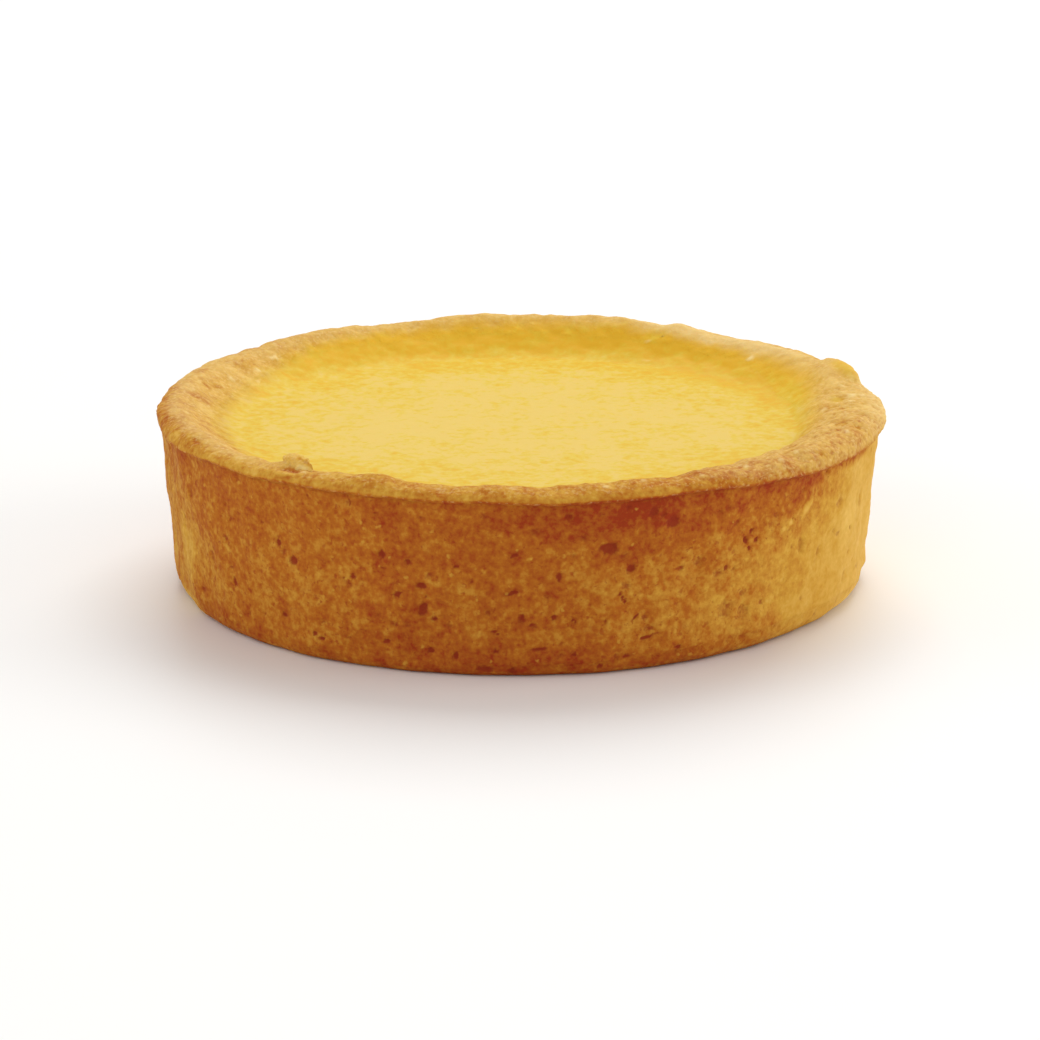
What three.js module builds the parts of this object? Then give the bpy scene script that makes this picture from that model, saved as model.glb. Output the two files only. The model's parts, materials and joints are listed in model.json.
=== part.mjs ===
/*
 * Lemon tartlet: a baked shortcrust case, its rim spread over the wall as a lip, and the set
 * lemon filling that it holds.
 *
 * Millimetres, +Z up, the origin in the middle of the flat underside. An azimuth is in degrees,
 * counter-clockwise seen from above: 0 is the right side, 90 the back and 270 the front.
 */
import * as THREE from "three";

const { degToRad, euclideanModulo, lerp, smoothstep } = THREE.MathUtils;

// Driving dimensions.
const LIP_DIAMETER = 82;
const CREST_HEIGHT = 21.1;
const LIP_HEIGHT = 19.75;
const CREST_INSET = 2.5;
const LIP_OVERHANG = 0.7;
const LIP_UNDERCUT = 0.4;
const BASE_DIAMETER = 77.6;
const BASE_ROUNDING = 1.8;
const WALL_THICKNESS = 3.4;
const FLOOR_THICKNESS = 3;
const FLOOR_FILLET = 1.6;
const FILLING_BELOW_CREST = 3.4;
const FILLING_DISH = 0.12;
const FLAT_DIAMETER = 62;
const SEAM_DIAMETER = 71.4;
const SEAM_GAP = 0.3;

// The inner slope leaves the flat filling and meets the crest level, over these lengths.
const FOOT_EASE = 3;
const CREST_EASE = 1.2;
const BROAD_FOOT_EASE = 0.6;
const BROAD_CREST_EASE = 4.4;

// How far the baked surfaces wander from the true form, and the size of their lumps.
const RIM_RIPPLE = 0.1;
const SEAM_RIPPLE = 0.2;
const RIM_RELIEF = 0.07;
const BROAD_RELIEF = 0.3;
const RIM_LUMP = 3.6;
const RELIEF_FADE_IN = 3;
const RELIEF_FADE_OUT = 1;
const WALL_RELIEF = 0.13;
const WALL_LUMP = 7.5;
const BASE_RIPPLE = 0.1;
const FILLING_RELIEF = 0.035;
const FILLING_LUMP = 9;
const BEAD_FULLNESS = 2.15;

// Facets.
const SEGMENTS = 120;
const CORNER_STEPS = 3;
const WALL_STEPS = 8;
const BEAD_STEPS = 5;
const SLOPE_STEPS = 5;
const FLAT_STEPS = 5;
const LUMP_WAVES = 9;
const GOLDEN_ANGLE = Math.PI * (3 - Math.sqrt(5));
const HALVINGS = 30;

/*
 * Where the baked form departs from true rings. Each stretch lies `at` an azimuth and reaches so
 * many degrees to both sides, the last `ease` of them sloping, and changes the form by `by` mm.
 */
const CREST_STRETCHES = [
  { at: 86, reach: 23, ease: 9, by: 0.32 },
  { at: 61, reach: 3.5, ease: 3.5, by: 0.35 },
  { at: 41, reach: 19, ease: 5, by: -0.38 },
  { at: 113, reach: 8, ease: 6, by: -0.2 },
  { at: 125, reach: 10, ease: 6, by: 0.2 },
  { at: 164, reach: 32, ease: 14, by: -0.3 },
  { at: 223, reach: 18, ease: 9, by: -0.4 },
  { at: 247, reach: 5, ease: 5, by: 0.4 },
  { at: 266, reach: 18, ease: 8, by: -0.22 },
  { at: 4, reach: 14, ease: 7, by: -0.75 },
];
const LIP_STRETCHES = [
  { at: 13, reach: 9, ease: 7, by: -0.55 },
  { at: 177, reach: 24, ease: 14, by: -0.3 },
];
const LIP_DROOPS = [
  { at: 334, reach: 34, ease: 22, by: 0.65 },
  { at: 204, reach: 18, ease: 14, by: 0.35 },
];
const BASE_STRETCHES = [
  { at: 230, reach: 42, ease: 30, by: 0.2 },
  { at: 326, reach: 30, ease: 25, by: -0.2 },
];
const SEAM_STRETCHES = [
  { at: 345, reach: 66, ease: 34, by: -3.4 },
  { at: 180, reach: 48, ease: 34, by: -1.5 },
];
const BROAD_CRUST = { at: 338, reach: 46, ease: 18 };
const SHOULDER_LUMP = { at: 21, reach: 8, ease: 3, by: 0.7 };
const FLAKE = { at: 229.5, reach: 6, ease: 5, by: 0.85, inset: 3.6, width: 2.2 };
const SOFT_CORNER = { at: 325, reach: 45, ease: 40, by: 0.6 };
const SHARP_CORNER = { at: 250, reach: 55, ease: 40, by: -0.5 };

const LIP_RADIUS = LIP_DIAMETER / 2;
const CREST_RADIUS = LIP_RADIUS - CREST_INSET;
const FLAT_RADIUS = FLAT_DIAMETER / 2;
const FILLING_HEIGHT = CREST_HEIGHT - FILLING_BELOW_CREST;

/** How far along a stretch an azimuth lies: 1 over its middle, 0 outside it. */
function within(azimuth, { at, reach, ease }) {
  const away = Math.abs(euclideanModulo(azimuth - at + 180, 360) - 180);
  return 1 - smoothstep(away, reach - ease, reach);
}

/** What a list of stretches adds at an azimuth. */
function added(azimuth, stretches) {
  return stretches.reduce((sum, stretch) => sum + stretch.by * within(azimuth, stretch), 0);
}

/** Unevenness round a ring, from waves whose counts share no factor. */
function ripple(azimuth, counts, shift) {
  const waves = counts.map((count, i) => Math.sin(degToRad(count * azimuth) + shift * (i + 1)));
  return waves.reduce((sum, wave) => sum + wave, 0) / Math.sqrt(counts.length);
}

/** Lumps of one size in all directions, from waves with evenly spread headings. */
function lumps(point, spacing) {
  let sum = 0;
  for (let i = 0; i < LUMP_WAVES; i += 1) {
    const rise = (2 * i + 1) / LUMP_WAVES - 1;
    const flat = Math.sqrt(1 - rise * rise);
    const heading = i * GOLDEN_ANGLE;
    const along = flat * (point.x * Math.cos(heading) + point.y * Math.sin(heading)) + rise * point.z;
    sum += Math.sin((2 * Math.PI * along) / spacing + i * i);
  }
  return sum / Math.sqrt(LUMP_WAVES);
}

/** The point at an azimuth, a radius and a height. */
function around(azimuth, radius, height) {
  const angle = degToRad(azimuth);
  return new THREE.Vector3(radius * Math.cos(angle), radius * Math.sin(angle), height);
}

function lipRadius(azimuth) {
  return LIP_RADIUS + added(azimuth, LIP_STRETCHES)
    + RIM_RIPPLE * ripple(azimuth, [4, 9, 17], 1.3);
}

function lipHeight(azimuth) {
  return LIP_HEIGHT - added(azimuth, LIP_DROOPS)
    + RIM_RIPPLE * ripple(azimuth, [7, 13, 22], 2.1);
}

function crestHeight(azimuth) {
  return CREST_HEIGHT + added(azimuth, CREST_STRETCHES)
    + RIM_RIPPLE * ripple(azimuth, [11, 19, 31], 0.7);
}

function seamRadius(azimuth) {
  return SEAM_DIAMETER / 2 + added(azimuth, SEAM_STRETCHES)
    + SEAM_RIPPLE * ripple(azimuth, [8, 15, 27], 1.9);
}

function baseRadius(azimuth) {
  return BASE_DIAMETER / 2 + added(azimuth, BASE_STRETCHES)
    + BASE_RIPPLE * ripple(azimuth, [5, 14, 23, 37], 0.4);
}

function baseRounding(azimuth) {
  return BASE_ROUNDING + added(azimuth, [SOFT_CORNER, SHARP_CORNER]);
}

/** The height of the wall's top, tucked in behind the lip. */
function wallTop(azimuth) {
  return lipHeight(azimuth) - LIP_UNDERCUT;
}

function wallRadius(azimuth, height) {
  const radius = lerp(baseRadius(azimuth), LIP_RADIUS - LIP_OVERHANG, height / wallTop(azimuth));
  return radius + WALL_RELIEF * lumps(around(azimuth, radius, height), WALL_LUMP);
}

/** The smooth slope from the flat filling up to the crest, as a curve of radius and height. */
function innerSlope(azimuth) {
  const broad = within(azimuth, BROAD_CRUST);
  const crest = crestHeight(azimuth);
  const footEase = lerp(FOOT_EASE, BROAD_FOOT_EASE, broad);
  const crestEase = lerp(CREST_EASE, BROAD_CREST_EASE, broad);
  return new THREE.CubicBezierCurve(
    new THREE.Vector2(FLAT_RADIUS, FILLING_HEIGHT),
    new THREE.Vector2(FLAT_RADIUS + footEase, FILLING_HEIGHT),
    new THREE.Vector2(CREST_RADIUS - crestEase, crest),
    new THREE.Vector2(CREST_RADIUS, crest),
  );
}

/** The height of a curve that runs outwards, at a radius, found by halving. */
function heightOn(curve, radius) {
  let low = 0;
  let high = 1;
  for (let i = 0; i < HALVINGS; i += 1) {
    const middle = (low + high) / 2;
    if (curve.getPoint(middle).x < radius) {
      low = middle;
    } else {
      high = middle;
    }
  }
  return curve.getPoint(low).y;
}

/** The curled flake that stands up from the inner side of the front left rim. */
function flakeRise(azimuth, radius) {
  const away = Math.abs(radius - LIP_RADIUS + FLAKE.inset);
  return FLAKE.by * within(azimuth, FLAKE) * (1 - smoothstep(away, 0, FLAKE.width));
}

/** Crags of the rim, strongest on the broad crust and fading out over the filling. */
function rimRelief(azimuth, radius) {
  const depth = lerp(RIM_RELIEF, BROAD_RELIEF, within(azimuth, BROAD_CRUST));
  const rising = smoothstep(radius, FLAT_RADIUS, FLAT_RADIUS + RELIEF_FADE_IN);
  const falling = 1 - smoothstep(radius, LIP_RADIUS - RELIEF_FADE_OUT, LIP_RADIUS);
  return depth * rising * falling * lumps(around(azimuth, radius, 0), RIM_LUMP);
}

/** The height of the upper surface anywhere inside the crest, of filling and crust alike. */
function insideHeight(azimuth, radius) {
  if (radius <= FLAT_RADIUS) {
    const share = radius / FLAT_RADIUS;
    const fade = 1 - share ** 4;
    return FILLING_HEIGHT - FILLING_DISH * fade
      + FILLING_RELIEF * fade * lumps(around(azimuth, radius, 0), FILLING_LUMP);
  }
  return heightOn(innerSlope(azimuth), radius) + rimRelief(azimuth, radius) + flakeRise(azimuth, radius);
}

/** The rounded outside of the rim, from the lip's lower edge (share 0) to the crest (share 1). */
function beadPoint(azimuth, share) {
  const angle = (share * Math.PI) / 2;
  const lip = new THREE.Vector2(lipRadius(azimuth), lipHeight(azimuth));
  const out = Math.cos(angle) ** (2 / BEAD_FULLNESS);
  const up = Math.sin(angle) ** (2 / BEAD_FULLNESS);
  const radius = lerp(CREST_RADIUS, lip.x, out);
  const height = lerp(lip.y, crestHeight(azimuth), up);
  const shoulder = SHOULDER_LUMP.by * within(azimuth, SHOULDER_LUMP) * Math.sin(2 * angle);
  return new THREE.Vector2(
    radius,
    height + shoulder + up * (rimRelief(azimuth, radius) + flakeRise(azimuth, radius)),
  );
}

/** The wall's inner face at the floor, where the fillet starts. */
function floorCorner(azimuth) {
  return new THREE.Vector2(baseRadius(azimuth) - WALL_THICKNESS, FLOOR_THICKNESS + FLOOR_FILLET);
}

/** Half of the case's section: underside, corner, wall, lip, crest, slope to the seam, inside, floor. */
function caseSection(azimuth) {
  const rounding = baseRounding(azimuth);
  const foot = baseRadius(azimuth) - rounding;
  const points = [[0, 0], [foot / 2, 0], [foot, 0]];
  for (let i = 1; i <= CORNER_STEPS; i += 1) {
    const angle = (i / CORNER_STEPS) * (Math.PI / 2);
    points.push([foot + rounding * Math.sin(angle), rounding * (1 - Math.cos(angle))]);
  }
  const top = wallTop(azimuth);
  for (let i = 1; i <= WALL_STEPS; i += 1) {
    const height = lerp(rounding, top, i / WALL_STEPS);
    points.push([wallRadius(azimuth, height), height]);
  }
  for (let i = 0; i <= BEAD_STEPS; i += 1) {
    points.push(beadPoint(azimuth, i / BEAD_STEPS).toArray());
  }
  const seam = seamRadius(azimuth);
  for (let i = 1; i <= SLOPE_STEPS; i += 1) {
    const radius = lerp(CREST_RADIUS, seam, i / SLOPE_STEPS);
    points.push([radius, insideHeight(azimuth, radius)]);
  }
  const corner = floorCorner(azimuth);
  points.push(
    [(seam + corner.x) / 2, (insideHeight(azimuth, seam) + corner.y) / 2],
    corner.toArray(),
    [corner.x - FLOOR_FILLET, FLOOR_THICKNESS],
    [corner.x / 2, FLOOR_THICKNESS],
    [0, FLOOR_THICKNESS],
  );
  return points;
}

/** Half of the filling's section: it lies in the case with a gap all round, up to the seam. */
function fillingSection(azimuth) {
  const corner = floorCorner(azimuth);
  const edge = seamRadius(azimuth) - SEAM_GAP;
  const edgeHeight = insideHeight(azimuth, edge);
  const bottom = FLOOR_THICKNESS + SEAM_GAP;
  const points = [
    [0, bottom],
    [corner.x / 2, bottom],
    [corner.x - FLOOR_FILLET - SEAM_GAP / 2, bottom],
    [corner.x - SEAM_GAP, corner.y + SEAM_GAP / 2],
    [(edge + corner.x - SEAM_GAP) / 2, (edgeHeight + corner.y) / 2],
  ];
  for (let i = 0; i < SLOPE_STEPS; i += 1) {
    const radius = lerp(edge, FLAT_RADIUS, i / SLOPE_STEPS);
    points.push([radius, insideHeight(azimuth, radius)]);
  }
  for (let i = 0; i <= FLAT_STEPS; i += 1) {
    const radius = FLAT_RADIUS * (1 - i / FLAT_STEPS);
    points.push([radius, insideHeight(azimuth, radius)]);
  }
  return points;
}

/** A turned solid whose section changes as it goes round. */
function turned(section) {
  const outline = section(0).map(([radius, height]) => new THREE.Vector2(radius, height));
  const geometry = new THREE.LatheGeometry(outline, SEGMENTS);
  const position = geometry.attributes.position;
  for (let turn = 0; turn <= SEGMENTS; turn += 1) {
    const azimuth = (360 * (turn % SEGMENTS)) / SEGMENTS;
    section(azimuth).forEach(([radius, height], i) => {
      const point = around(azimuth, radius, height);
      position.setXYZ(turn * outline.length + i, point.x, point.y, point.z);
    });
  }
  geometry.computeVertexNormals();
  return geometry;
}

/** One named piece of the tartlet. */
function piece(name, section, color, roughness) {
  const material = new THREE.MeshStandardMaterial({ color, roughness, metalness: 0 });
  const mesh = new THREE.Mesh(turned(section), material);
  mesh.name = name;
  return mesh;
}

const tartlet = new THREE.Group();
tartlet.add(piece("pastry_case", caseSection, 0xb8782c, 0.72));
tartlet.add(piece("lemon_filling", fillingSection, 0xf0cf5f, 0.42));

export default tartlet;
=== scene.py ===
"""Looks of the lemon tartlet, round its packed frame: the baked shortcrust case and the set
lemon filling in it, with a pale floor, soft studio light and a camera.

The shape functions work in millimetres, +Z up, from the middle of the flat underside. An azimuth
is in degrees, counter-clockwise seen from above: 0 is the right side, 90 the back, 270 the front.
"""

import inspect
import json
import math

import bmesh
import bpy
import numpy as np
from bpy.props import FloatProperty, FloatVectorProperty, IntProperty, PointerProperty
from mathutils import Color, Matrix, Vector, noise

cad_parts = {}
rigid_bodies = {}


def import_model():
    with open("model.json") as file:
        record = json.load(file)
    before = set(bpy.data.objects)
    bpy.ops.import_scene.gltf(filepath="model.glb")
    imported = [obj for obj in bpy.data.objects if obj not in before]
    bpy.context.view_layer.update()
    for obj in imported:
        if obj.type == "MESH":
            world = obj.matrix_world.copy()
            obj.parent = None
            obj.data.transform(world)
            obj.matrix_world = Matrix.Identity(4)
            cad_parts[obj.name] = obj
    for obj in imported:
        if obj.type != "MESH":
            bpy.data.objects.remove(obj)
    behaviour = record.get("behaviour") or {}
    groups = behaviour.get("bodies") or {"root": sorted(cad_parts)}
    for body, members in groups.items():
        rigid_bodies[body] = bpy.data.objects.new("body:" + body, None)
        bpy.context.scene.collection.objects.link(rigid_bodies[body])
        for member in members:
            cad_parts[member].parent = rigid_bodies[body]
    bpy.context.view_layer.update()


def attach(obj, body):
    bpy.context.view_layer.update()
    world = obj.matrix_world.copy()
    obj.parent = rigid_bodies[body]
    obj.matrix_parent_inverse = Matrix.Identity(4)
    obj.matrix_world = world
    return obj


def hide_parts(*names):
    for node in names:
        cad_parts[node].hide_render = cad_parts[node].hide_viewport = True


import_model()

bl_info = {
    "name": "Lemon tartlet",
    "version": (1, 0, 0),
    "blender": (4, 5, 0),
    "location": "3D View > Sidebar > Tartlet",
    "description": "Bakes a lemon tartlet round its packed frame, with a studio to show it in",
    "category": "Add Mesh",
}

MM = 0.001

# Smaller sizes of the form, in mm.
LIP_UNDERCUT = 0.4
FLOOR_FILLET = 1.6
SEAM_GAP = 0.3
SEAM_LAP = 0.8
SEAM_TUCK = 0.15
BEAD_ROUNDING = 2 / 2.15

# Where the slope inside the rim leaves the filling and meets the crest, over these lengths, and
# how deep the rim's lumps are: on the narrow crust and on the broad.
FOOT_EASE = (3.0, 0.6)
CREST_EASE = (1.2, 4.4)
RIM_RELIEF = (0.07, 0.14)

# How far surfaces wander, and the size of their lumps.
RIM_RIPPLE = 0.1
BASE_RIPPLE = 0.1
SEAM_RIPPLE = 0.2
RIM_LUMP = 3.6
WALL_RELIEF = 0.13
WALL_LUMP = 7.5
FILLING_DISH = 0.12
FILLING_RELIEF = 0.035
FILLING_LUMP = 9.0
SEED_STEP = np.array((17.3, 5.9, 11.7))
HOLE_SEED = 21

# How finely the pieces are meshed.
CASE_COLUMNS = 840
FILLING_COLUMNS = 450
CORNER_RINGS = 5
WALL_RINGS = 65
BEAD_RINGS = 14
SLOPE_RINGS = 23
FLAT_RINGS = 65
HALVINGS = 24

FLOOR_HALF = 3.0
LIGHT_TARGET = Vector((0.0, 0.0, 0.01))

# Where the baked form departs from true rings: azimuth, reach to both sides, the part of the
# reach that slopes, and the change in mm.
CREST_STRETCHES = (
    (86, 23, 9, 0.32), (61, 3.5, 3.5, 0.35), (41, 19, 5, -0.38), (113, 8, 6, -0.2), (125, 10, 6, 0.2),
    (164, 32, 14, -0.3), (223, 18, 9, -0.4), (247, 5, 5, 0.4), (266, 18, 8, -0.22), (4, 14, 7, -0.75),
)
LIP_STRETCHES = ((13, 9, 7, -0.55), (177, 24, 14, -0.3))
LIP_DROOPS = ((334, 34, 22, -0.65), (204, 18, 14, -0.35))
BASE_STRETCHES = ((230, 42, 30, 0.2), (326, 30, 25, -0.2))
CORNER_STRETCHES = ((325, 45, 40, 0.6), (250, 55, 40, -0.5))
SEAM_STRETCHES = ((345, 66, 34, -3.4), (180, 48, 34, -1.5))
BROAD_CRUST = (338, 46, 18)
SHOULDER_LUMP = ((21, 8, 3, 0.7),)
FLAKE_BUMP = ((230.5, 5, 4, 0.5),)
# The lemon colour's edge is at a radius of 36.8 mm, and blends over 0.8 mm to both sides, apart from:
LEMON_EDGE = ((180, 54, 36, -3.1), (333, 58, 32, -4.5), (90, 45, 30, 0.5))
LEMON_BLEND = ((180, 60, 40, 1.5), (90, 50, 40, 0.4), (12, 40, 22, 1.2))

# The curled flake: its middle's azimuth, radius and height, and half its length, width and
# thickness. The rim rises under it.
FLAKE_PLACE = (231.7, 38.2, 21.25)
FLAKE_HALF = (2.5, 1, 0.18)
FLAKE_LEAN = 52
FLAKE_ROLL = -13
FLAKE_INSET = 3.6
FLAKE_WIDTH = 2.2

# How the case was browned, with painted shade and painted light laid in among it: azimuth, reach, slope
# and the change of the tone's level.
WALL_BROWNING = (
    (354, 62, 54, -0.49), (188, 34, 30, -0.14), (262, 34, 26, 0.1), (100, 42, 36, 0.08),
    (45, 26, 24, -0.12),
)
# Darker under the lip: partly browning and partly painted shade of the lip.
UNDER_LIP_BROWNING = ((306, 34, 20, 0.25), (282, 20, 14, 0.1), (206, 24, 14, 0.05))
# Darker at the foot in front: partly browning and partly painted shade.
FOOT_BROWNING = ((286, 56, 40, 0.14), (214, 15, 11, 0.12))
# The rim's tone; its paler back, at 90, is painted light.
RIM_BROWNING = (
    (280, 58, 30, 0.07), (303, 18, 12, 0.05), (335, 40, 22, -0.03), (90, 50, 30, -0.1),
    (184, 30, 20, 0.13), (160, 12, 8, -0.06), (8, 20, 12, -0.13), (45, 34, 20, -0.16),
)
SLOPE_BROWNING = ((172, 44, 26, -0.03), (60, 56, 30, -0.08), (0, 22, 14, 0.05))

# Air holes and tears in the wall: azimuth, height, half length, half width, tilt, depth. Their dark
# insides are partly painted shade.
HOLES = (
    (283.5, 14.2, 0.95, 0.62, 0, 0.5), (287.2, 11.8, 0.5, 0.45, 0, 0.35),
    (252.9, 12.6, 0.36, 0.36, 0, 0.35), (248.6, 13.1, 0.4, 0.5, 0, 0.4), (254.8, 10, 0.6, 0.38, 0, 0.4),
    (255, 7.4, 0.45, 0.8, -20, 0.3), (243.5, 10.2, 0.3, 0.3, 0, 0.3), (256.7, 6.3, 0.3, 0.27, 0, 0.3),
    (251, 8.9, 0.5, 0.26, 15, 0.3), (269.2, 13.8, 0.42, 0.24, 20, 0.3), (276, 11.3, 0.3, 0.62, 10, 0.25),
    (275.2, 6.8, 0.33, 0.3, 0, 0.3), (278.2, 6.4, 0.27, 0.25, 0, 0.3), (271.8, 6, 0.25, 0.25, 0, 0.25),
    (270.4, 6.9, 0.25, 0.25, 0, 0.25), (260.3, 12.5, 0.28, 0.26, 0, 0.3), (256, 2.8, 0.4, 0.27, -25, 0.3),
    (260, 2.4, 0.27, 0.45, 0, 0.3), (266.3, 3, 0.25, 0.25, 0, 0.25), (278.5, 2.6, 0.3, 0.3, 0, 0.25),
    (232.5, 10.9, 0.6, 0.5, 0, 0.4), (229.5, 12.4, 0.4, 0.35, 0, 0.35), (218.7, 6.4, 0.27, 0.6, 10, 0.3),
    (230, 4.3, 0.35, 0.3, 0, 0.3), (236.3, 3.1, 0.3, 0.3, 0, 0.3), (237.6, 2.7, 0.3, 0.26, 0, 0.3),
    (307, 13.2, 0.27, 0.5, 20, 0.35), (308.2, 14.1, 0.36, 0.26, 30, 0.3), (309.3, 13, 0.3, 0.3, 0, 0.35),
    (307.8, 12.3, 0.3, 0.26, 0, 0.3), (303.5, 10.5, 0.3, 0.27, 0, 0.3), (293.7, 16.6, 0.8, 0.7, 0, 0.2),
    (290.5, 18, 0.62, 0.45, 50, 0.2), (286.3, 18.7, 0.36, 0.3, 0, 0.2), (268.6, 9.5, 1.05, 0.2, 18, 0.3),
    (273, 3.3, 1, 0.17, 8, 0.25), (266.2, 5.1, 0.45, 0.18, -25, 0.25), (286, 8.5, 0.9, 0.17, -60, 0.22),
    (288, 6.3, 0.5, 0.17, 45, 0.22), (290, 3.9, 1, 0.18, 15, 0.25), (286.8, 2, 0.5, 0.22, 0, 0.25),
    (248.8, 3.4, 0.5, 0.22, 10, 0.25), (295.5, 2.4, 0.42, 0.22, 0, 0.25), (264.5, 0.9, 0.9, 0.4, 0, 0.3),
    (268.8, 0.7, 0.45, 0.32, 0, 0.25), (282.5, 1, 0.4, 0.4, 0, 0.25),
)
# Shallow dents that don't brown, darkened only by painted shade: the same six numbers.
DENTS = (
    (320, 10.8, 0.55, 1, 0, 0.5), (325.5, 9.2, 0.55, 0.6, 0, 0.4), (336, 4.6, 0.5, 0.8, 0, 0.5),
    (304, 5.6, 1, 1, 0, 0.4), (307.6, 5, 0.8, 0.9, 0, 0.4), (341, 12.5, 0.6, 1, 0, 0.4),
    (331, 14, 0.6, 0.8, 0, 0.3), (302, 10, 0.7, 0.5, 0, 0.3), (298.5, 11.6, 0.6, 0.6, 0, 0.3),
    (212, 8.2, 0.5, 0.9, 0, 0.35), (205.5, 14.5, 0.5, 0.7, 0, 0.3),
)
# Folds, dents and ridges of the rim: azimuth, radius, half length along the rim, half width
# across it, tilt, rise, and the change of the tone's level.
RIM_MARKS = (
    # under the leaf-shaped flake, with painted shadow below it and along its right edge
    (231.6, 39.4, 1.5, 0.45, 0, -0.14, 0.4), (232.4, 40.3, 1.6, 0.35, -15, 0.1, -0.26),
    (235.6, 38.7, 0.9, 0.4, 0, -0.1, 0.3),
    # the small bump beside it, with a painted shadow line along one side
    (246.2, 38.9, 1.1, 0.5, 0, 0.16, 0), (246, 38.2, 1.2, 0.25, 0, -0.1, 0.26),
    (241.9, 39, 1.2, 0.3, 0, 0.04, -0.16),
    # the left of the rim
    (153.9, 35.6, 1, 0.35, 39, 0.08, -0.25), (166.4, 37, 0.6, 0.6, 0, -0.08, 0.2),
    (164.1, 36.1, 0.9, 0.5, 40, -0.08, 0.18), (160.8, 35.4, 0.5, 0.5, 0, -0.05, 0.14),
    (164.9, 34.8, 0.5, 0.6, 0, -0.05, 0.12), (160.7, 38.9, 2.2, 1, 0, 0, 0.12),
    (150.1, 37, 2.4, 0.9, 0, -0.05, 0.14), (174.8, 36.8, 1.2, 0.9, 0, -0.05, 0.12),
    (172.6, 38.1, 2.2, 1, 0, 0, -0.1), (178.4, 35.4, 2.5, 1.6, 0, 0.04, -0.14),
    (189, 37.9, 0.5, 1.7, 0, 0.07, -0.12), (194.1, 40, 2.2, 0.8, 0, 0, 0.14),
    (208.5, 40, 1.2, 0.35, 0, -0.08, 0.22), (199.9, 35.2, 0.6, 0.6, 0, -0.06, 0.15),
    (201.5, 40.8, 1.4, 0.6, 0, 0.05, -0.14), (221, 39.6, 0.5, 0.35, 0, 0.06, -0.22),
    (217.4, 39.9, 0.4, 0.3, 0, 0.05, -0.15), (228.3, 40.35, 0.6, 0.3, 0, 0.05, -0.18),
    # the broad crust on the right
    (4.9, 36.4, 1.2, 1, 0, -0.07, 0.14), (359.7, 35, 1.1, 1, 0, -0.05, 0.12),
    (357.2, 36.6, 0.5, 1.6, 0, -0.08, 0.13), (342, 37.1, 1.3, 1, 0, -0.11, 0.18),
    (340.5, 39.4, 0.8, 0.6, 0, -0.08, 0.14), (336.2, 37.6, 1.4, 0.6, 0, -0.09, 0.15),
    (324.2, 40.2, 0.9, 0.5, 0, -0.06, 0.16), (326.3, 36, 1.6, 0.4, 0, -0.08, 0.14),
    (319.9, 37.7, 2.4, 0.4, 0, -0.08, 0.14), (310.8, 40.1, 0.5, 0.4, 0, -0.05, 0.16),
    (315.3, 40.1, 0.9, 0.45, 0, -0.06, 0.14), (340, 38.5, 8, 0.9, 0, 0, 0.08),
    (300, 38.6, 8, 0.8, 0, 0, 0.1), (26.7, 39.6, 0.35, 1.2, 0, -0.3, 0.05),
)
# The same on the wall, with the height in place of the radius. The darker marks at 16.6 and 18.8 mm are
# partly painted shade under the lip, and the paler two at 0.7 mm are painted light at the foot.
WALL_MARKS = (
    (320.6, 15.1, 1.5, 0.58, 40, 0.14, -0.36), (316.6, 14, 0.5, 0.5, 0, 0.1, -0.4),
    (315, 13.5, 0.45, 0.4, 0, 0.08, -0.35), (320, 3.4, 4, 2.4, 0, 0, -0.1),
    (318, 18.8, 9, 1.5, 0, 0, 0.14), (290, 12.5, 3, 1.6, 0, 0, 0.06), (334, 10, 1.6, 4, 0, 0, -0.08),
    (320, 16.6, 4.5, 2.2, 10, 0, 0.14), (336, 18.8, 6, 1.2, 0, 0, 0.42),
    (307.8, 13.2, 1.6, 1.3, 0, 0, 0.12), (255, 7.4, 1.3, 1.7, 0, 0, 0.12),
    (250.5, 12.9, 2, 1.1, 0, 0, 0.1), (286, 12, 1.8, 1.6, 0, 0, 0.08),
    (271.6, 13.5, 0.28, 0.28, 0, 0.06, -0.5), (300, 6, 4, 2.2, 0, 0, -0.07), (202, 8, 3.2, 5, 0, 0, -0.17),
    (335.5, 12.2, 2.2, 3, 0, 0, -0.06), (197, 0.7, 6, 1.2, 0, 0, -0.35), (342, 0.7, 7, 1.2, 0, 0, -0.2),
)
# Where the slope inside the rim baked to a deeper gold, and where the filling ran over the rim:
# azimuth, radius, half length, half width, tilt and how much.
GOLD_PATCHES = (
    (57, 36, 4.5, 1.1, 0, 0.3), (43, 36.2, 4, 1, 0, 0.32), (30.5, 36.2, 3.2, 1.1, 0, 0.3),
    (17, 34.7, 2.5, 1.3, 0, 0.25), (72, 35.9, 4, 1, 0, 0.15), (112, 36, 3.5, 0.9, 0, 0.15),
    (40, 31, 20, 2.6, 0, 0.22), (176.5, 28.8, 1.6, 0.4, 0, -0.5), (221.6, 18.5, 3.4, 0.8, 0, 0.2),
)
RUN_OVER = ((18.5, 39.6, 3.8, 1.5, 0, 0.75), (4, 36, 2.2, 0.9, 0, 0.5))
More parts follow.
